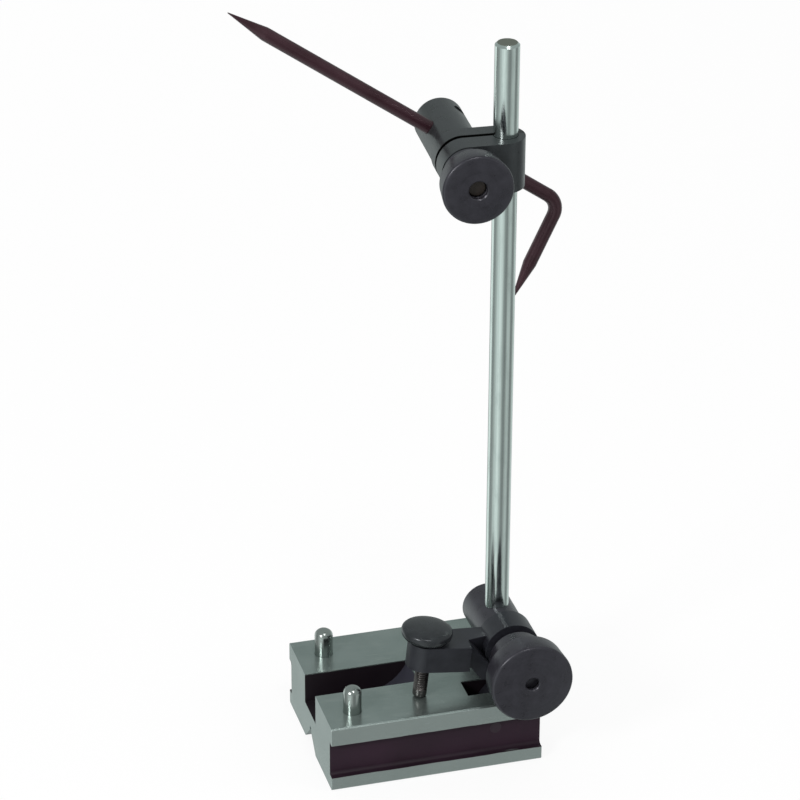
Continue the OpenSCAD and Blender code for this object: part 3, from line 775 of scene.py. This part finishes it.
def pick_edges(piece, wanted):
    """Selects the edges whose two end points both satisfy wanted, and goes to edit mode."""
    start_editing(piece)
    corners = piece.data.vertices
    for edge in piece.data.edges:
        edge.select = all(wanted(corners[i].co) for i in edge.vertices)
    bpy.ops.object.mode_set(mode="EDIT")
    bpy.ops.mesh.select_mode(type="EDGE")


def bevel_rim(piece, along, radius, width_mm, segments):
    """Bevels the round rim that lies at a place along local Z, at a radius (both in mm)."""
    def on_rim(p):
        return (abs(p.z / MM - along) < 0.01
                and abs(math.hypot(p.x, p.y) / MM - radius) < 0.02)
    pick_edges(piece, on_rim)
    bpy.ops.mesh.bevel(offset=width_mm * MM, segments=segments, affect="EDGES")
    bpy.ops.object.mode_set(mode="OBJECT")


def draw_out(dz_mm, scale=1.0):
    """Extrudes the picked face by dz_mm along Z, then scales the new end about its own middle."""
    bpy.ops.mesh.extrude_region_move(TRANSFORM_OT_translate={"value": (0, 0, dz_mm * MM)})
    if scale != 1.0:
        bpy.ops.transform.resize(value=(scale, scale, 1))


def settle(piece, place, turn):
    """Puts a piece that was built at the origin in its place, and applies that to its mesh."""
    piece.matrix_world = Matrix.Translation(place) @ turn.to_4x4()
    pick_piece(piece)
    bpy.ops.object.transform_apply(location=True, rotation=True, scale=True)


print("turning tools ready")

# %% [markdown]
# ## A knob's blank
# A knob is turned in one setting: a tapered head and a hub behind it. A cone of the head's two
# radii is the start, and its back face is inset to the hub's size and drawn out.

# %% Knob blank
knob_sides = 144


def knob_blank(name, face_r, back_r, head_l, hub_r, hub_l):
    """A head and hub with their axis on Z: the face is at z = 0 and looks down."""
    bpy.ops.object.select_all(action="DESELECT")
    bpy.ops.mesh.primitive_cone_add(vertices=knob_sides, radius1=face_r * MM,
                                    radius2=back_r * MM, depth=head_l * MM,
                                    location=(0, 0, head_l / 2 * MM))
    knob = bpy.context.object
    knob.name = knob.data.name = name
    bpy.ops.object.transform_apply(location=True)
    pick_faces(knob, lambda f: f.normal.z > 0.99 and f.center.z > 0)
    bpy.ops.mesh.inset(thickness=(back_r - hub_r) * MM)
    draw_out(hub_l)
    bpy.ops.object.mode_set(mode="OBJECT")
    return knob


print("knob sides:", knob_sides)

# %% [markdown]
# ## The knob's threaded hole
# The front face is inset to the hole's mouth and drawn in: a chamfer, a plain lip, a shoulder to
# the bore, and then one small step in and out for each ridge of the thread. It stops a last
# wall short of the hub's end.

# %% Threaded hole
last_wall = 1.0


def thread_hole(knob, face_r, knob_l, bore_r, opening_r):
    """A hole from the face, with ridges inside, that ends last_wall before the hub does."""
    mouth, lip, shoulder = 0.35, 0.9, 0.2
    ridges, groove, crest, flank = 5, 0.30, 0.1, 0.4
    pick_faces(knob, lambda f: f.normal.z < -0.99 and f.center.z < 0.1 * MM)
    bpy.ops.mesh.inset(thickness=(face_r - opening_r - mouth) * MM)
    draw_out(mouth, opening_r / (opening_r + mouth))
    draw_out(lip)
    draw_out(shoulder, bore_r / opening_r)
    for _ in range(ridges):
        draw_out(crest)
        draw_out(flank, (bore_r + groove) / bore_r)
        draw_out(crest)
        draw_out(flank, bore_r / (bore_r + groove))
    threaded = ridges * 2 * (crest + flank)
    draw_out(knob_l - mouth - lip - shoulder - threaded - last_wall)
    bpy.ops.object.mode_set(mode="OBJECT")


print("the hole stops", last_wall, "mm short")

# %% [markdown]
# ## The hole breaks through
# A knob's hole goes right through, so that the stud's end shows in its middle. The hub's end is
# inset to the hole, the two faces that still close the hole go, and a wall joins their rims.

# %% Open end
def open_hub(knob, hub_r, knob_l, bore_r):
    """Opens the hub's end into the hole that stops last_wall below it."""
    pick_faces(knob, lambda f: f.normal.z > 0.99 and f.center.z > (knob_l - 0.01) * MM)
    bpy.ops.mesh.inset(thickness=(hub_r - bore_r) * MM)
    bpy.ops.object.mode_set(mode="OBJECT")
    ends = (knob_l, knob_l - last_wall)
    hole_area = math.pi * (bore_r * MM) ** 2
    pick_faces(knob, lambda f: len(f.vertices) == knob_sides and f.area < 1.1 * hole_area
               and any(abs(f.center.z / MM - end) < 0.01 for end in ends))
    bpy.ops.mesh.delete(type="FACE")
    bpy.ops.object.mode_set(mode="OBJECT")
    pick_edges(knob, lambda p: math.hypot(p.x, p.y) / MM < bore_r + 0.01
               and any(abs(p.z / MM - end) < 0.01 for end in ends))
    bpy.ops.mesh.bridge_edge_loops()
    bpy.ops.object.mode_set(mode="OBJECT")


def turned_knob(name, face_r, back_r, head_l, hub_r, hub_l, bore_r, opening_r):
    """A whole knob: blank, threaded hole, open end, and its three rims broken last."""
    knob_l = head_l + hub_l
    knob = knob_blank(name, face_r, back_r, head_l, hub_r, hub_l)
    thread_hole(knob, face_r, knob_l, bore_r, opening_r)
    open_hub(knob, hub_r, knob_l, bore_r)
    bevel_rim(knob, along=0, radius=face_r, width_mm=1.1, segments=3)
    bevel_rim(knob, along=head_l, radius=back_r, width_mm=0.5, segments=3)
    bevel_rim(knob, along=knob_l, radius=hub_r, width_mm=0.5, segments=2)
    smooth(35)
    print(name, "faces:", len(knob.data.polygons))
    return knob


# %% [markdown]
# ## Both knobs in place
# The lower knob is the larger one, because it has to hold the whole spindle. Each knob's axis is
# turned from Z to the clamp's axis, so that its face looks to the front, and the upper one also
# follows the strap and the scriber's tilt.

# %% Knobs in place
face_front = Matrix.Rotation(math.radians(-90), 3, "X")
stud_r = 3.16
low_face_y, top_face_y = -40.85, -21.95
low_knob = turned_knob("low_knob", face_r=14.1, back_r=13.5, head_l=9.0, hub_r=9.3, hub_l=9.9,
                       bore_r=stud_r, opening_r=2.3)
settle(low_knob, clamp_axis + Vector((0, low_face_y, 0)) * MM, face_front)
dress(low_knob, black_low)
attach(low_knob, "spindle_knob")
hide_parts("spindle_clamp_knob")

tilt_down = Matrix.Rotation(math.radians(scriber_tilt), 3, "Y")
top_knob = turned_knob("top_knob", face_r=11.65, back_r=10.7, head_l=8.5, hub_r=8.4, hub_l=3.8,
                       bore_r=stud_r, opening_r=3.0)
settle(top_knob, bolt_axis + swing_back @ Vector((0, top_face_y, 0)) * MM,
       swing_back @ tilt_down @ face_front)
dress(top_knob, black_top)
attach(top_knob, "scriber_knob")
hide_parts("scriber_clamp_knob")

# %% [markdown]
# ## The fine screw's thread
# The shank is a real thread. A thread is one small tooth that runs round a bar and climbs by one
# pitch a turn, so the tooth's outline is drawn first, point by point, and the Screw modifier
# carries it round. Two bisects cut the ends square and close them.

# %% Thread
def outline_tooth(name, root_r, crest_r, pitch, start):
    """One tooth of a thread as a line of points, from a plane that is merged to one point."""
    bpy.ops.object.select_all(action="DESELECT")
    bpy.ops.mesh.primitive_plane_add(size=0.1 * MM, location=(root_r * MM, 0, start * MM))
    tooth = bpy.context.object
    tooth.name = tooth.data.name = name
    bpy.ops.object.transform_apply(location=True)
    bpy.ops.object.mode_set(mode="EDIT")
    bpy.ops.mesh.select_mode(type="VERT")
    bpy.ops.mesh.select_all(action="SELECT")
    bpy.ops.mesh.merge(type="CENTER")
    depth = crest_r - root_r
    flank, land = 0.4 * pitch, 0.1 * pitch
    for out, climb in ((depth, flank), (0, land), (-depth, flank), (0, land)):
        bpy.ops.mesh.extrude_region_move(
            TRANSFORM_OT_translate={"value": (out * MM, 0, climb * MM)})
    bpy.ops.object.mode_set(mode="OBJECT")
    return tooth


def cut_square(piece, height, keep_above):
    """Cuts a piece level at a height in mm, keeps one side and closes the cut."""
    bpy.ops.object.mode_set(mode="EDIT")
    bpy.ops.mesh.select_all(action="SELECT")
    bpy.ops.mesh.bisect(plane_co=(0, 0, height * MM), plane_no=(0, 0, 1), use_fill=True,
                        clear_inner=keep_above, clear_outer=not keep_above, threshold=1e-7)
    bpy.ops.object.mode_set(mode="OBJECT")


root_r, crest_r, screw_pitch, steps_a_turn = 2.02, 2.4, 0.8, 40
shank_low, shank_top = 9.6, 30.3
shank = outline_tooth("fine_thread", root_r, crest_r, screw_pitch, shank_low - 1.5 * screw_pitch)
winding = shank.modifiers.new("winding", "SCREW")
winding.axis = "Z"
winding.screw_offset = screw_pitch * MM
winding.iterations = math.ceil((shank_top - shank_low) / screw_pitch) + 3
winding.steps = winding.render_steps = steps_a_turn
bpy.ops.object.modifier_apply(modifier=winding.name)
bpy.ops.object.mode_set(mode="EDIT")
bpy.ops.mesh.select_all(action="SELECT")
bpy.ops.mesh.remove_doubles(threshold=weld)
bpy.ops.mesh.normals_make_consistent(inside=False)
bpy.ops.object.mode_set(mode="OBJECT")
cut_square(shank, shank_low, True)
cut_square(shank, shank_top, False)
print("thread faces:", len(shank.data.polygons))

# %% [markdown]
# ## Stacks of rings
# Heads, feet and pins are stacks of rings. The first two rings make a cone, and its upper end is
# drawn out to each next ring's height and radius in turn.

# %% Stacks of rings
stack_sides = 96


def rounded_stack(name, rings):
    """A turned piece on local Z from (radius, height) pairs in mm, closed at both ends."""
    (first_r, first_z), (next_r, next_z) = rings[:2]
    bpy.ops.object.select_all(action="DESELECT")
    bpy.ops.mesh.primitive_cone_add(vertices=stack_sides, radius1=first_r * MM,
                                    radius2=next_r * MM, depth=(next_z - first_z) * MM,
                                    location=(0, 0, (first_z + next_z) / 2 * MM))
    piece = bpy.context.object
    piece.name = piece.data.name = name
    bpy.ops.object.transform_apply(location=True)
    pick_faces(piece, lambda f: f.normal.z > 0.99 and f.center.z > (next_z - 0.001) * MM)
    last_r, last_z = next_r, next_z
    for radius, height in rings[2:]:
        draw_out(height - last_z, radius / last_r)
        last_r, last_z = radius, height
    bpy.ops.object.mode_set(mode="OBJECT")
    return piece


print("stack sides:", stack_sides)

# %% [markdown]
# ## The fine screw's foot
# The screw stands on the block with a rounded foot, so that it can roll a little as the bracket
# rocks: its lower edge stays clear of the block up to the rocker's limit. A Boolean joins the
# foot to the thread, and the screw is then leaned back with the bracket.

# %% Foot and finish of the fine screw
foot_rings = [(0.5, 8.07), (1.2, 8.14), (1.7, 8.24), (2.15, 8.50), (2.38, 8.95), (2.38, 11.2),
              (2.05, 11.5)]
foot = rounded_stack("fine_foot", foot_rings)
pick_piece(shank)
joint = shank.modifiers.new("foot", "BOOLEAN")
joint.operation = "UNION"
joint.solver = "EXACT"
joint.object = foot
bpy.ops.object.modifier_apply(modifier=joint.name)
bpy.data.objects.remove(foot)
bpy.ops.object.mode_set(mode="EDIT")
bpy.ops.mesh.select_all(action="SELECT")
bpy.ops.mesh.normals_make_consistent(inside=False)
bpy.ops.object.mode_set(mode="OBJECT")
smooth(35)

screw_back = 24.8
screw_turn = Matrix.Rotation(math.radians(rocker_tilt), 3, "Y")
screw_foot = rocker_axis + screw_turn @ Vector((-screw_back, 0, 0)) * MM
settle(shank, screw_foot, screw_turn)
fine_steel = bright("bright_fine_screw", screw_foot, (0, rocker_tilt, 0),
                    low=(0.11, 0.10, 0.10), high=(0.21, 0.19, 0.185), rough=0.30)
dress(shank, fine_steel)
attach(shank, "screw_shank")
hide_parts("fine_screw")
print("fine screw faces:", len(shank.data.polygons))

# %% [markdown]
# ## The fine screw's head
# The head is turned too: a small hub, a bowl that opens to the rim, a rounded rim for the
# fingers and a softly domed top. Its outline is given as radii and heights.

# %% Fine screw head
head_rings = [(4.2, 30.0), (5.6, 30.15), (7.0, 30.5), (7.9, 31.0), (8.4, 31.7), (8.6, 32.4),
              (8.6, 33.1), (8.45, 33.65), (8.1, 34.05), (7.5, 34.32), (6.4, 34.6), (4.8, 34.87),
              (3.0, 35.03), (1.2, 35.1)]
head = rounded_stack("fine_head", head_rings)
smooth(40)
settle(head, screw_foot, screw_turn)
head_black = blackened("black_fine_head", screw_foot, (-90, 0, 0), rub=0.4,
                       tint=(1.1, 1.2, 1.35), gloss=0.14)
dress(head, head_black)
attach(head, "screw_head")
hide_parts("fine_screw_head")
print("head faces:", len(head.data.polygons))

# %% [markdown]
# ## The guide pins
# Each pin is a turned bar with a groove for its friction ring and a domed end, which is what a
# finger presses. The dome is an ellipse, so its rings come from a cosine and a sine. One pin is
# modelled, and the other is a copy with a mesh of its own.

# %% Guide pins
pin_r, pin_foot, foot_edge, dome_z, dome_h = 3.1, 0.3, 0.3, 31.1, 2.4
groove_r, groove_low, groove_high = 2.3, 11.2, 12.8
pin_y = 18.8
pin_rings = [(pin_r - foot_edge, pin_foot), (pin_r, pin_foot + foot_edge), (pin_r, groove_low),
             (groove_r, groove_low), (groove_r, groove_high), (pin_r, groove_high)]
dome_steps = 9
for step in range(dome_steps):
    lift = math.radians(90) * step / dome_steps
    pin_rings.append((pin_r * math.cos(lift), dome_z + dome_h * math.sin(lift)))
near_pin = rounded_stack("near_guide_pin", pin_rings)
smooth(35)
far_pin = near_pin.copy()
far_pin.data = near_pin.data.copy()
far_pin.name = far_pin.data.name = "far_guide_pin"
bpy.context.collection.objects.link(far_pin)
for pin, side, body, node in ((near_pin, -pin_y, "near_pin", "guide_pin_near"),
                              (far_pin, pin_y, "far_pin", "guide_pin_far")):
    settle(pin, Vector((pin_x, side, 0)) * MM, Matrix.Identity(3))
    dress(pin, pin_steel)
    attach(pin, body)
    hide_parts(node)
print("guide pin faces:", len(near_pin.data.polygons))

# %% [markdown]
# ## Finishes for the solids that stay
# The other solids have the right shape already. They keep their meshes, and only their
# materials are changed.

# %% Finishes on the solids
for name, finish in {
    "guide_pin_ring_near": spring_steel,
    "guide_pin_ring_far": spring_steel,
    "rocker_pivot_pin": pivot_steel,
    "rocker_spring": spring_steel,
    "spindle_clamp_bolt": black_low,
    "spindle_clamp_washer": black_low,
    "spindle": spindle_steel,
    "scriber_clamp_bolt": brown_stud,
    "scriber_clamp_washer": black_top,
    "scriber": scriber_steel,
}.items():
    dress(nodes[name], finish)
print("solids finished:", sum(not o.hide_render for o in nodes.values()))
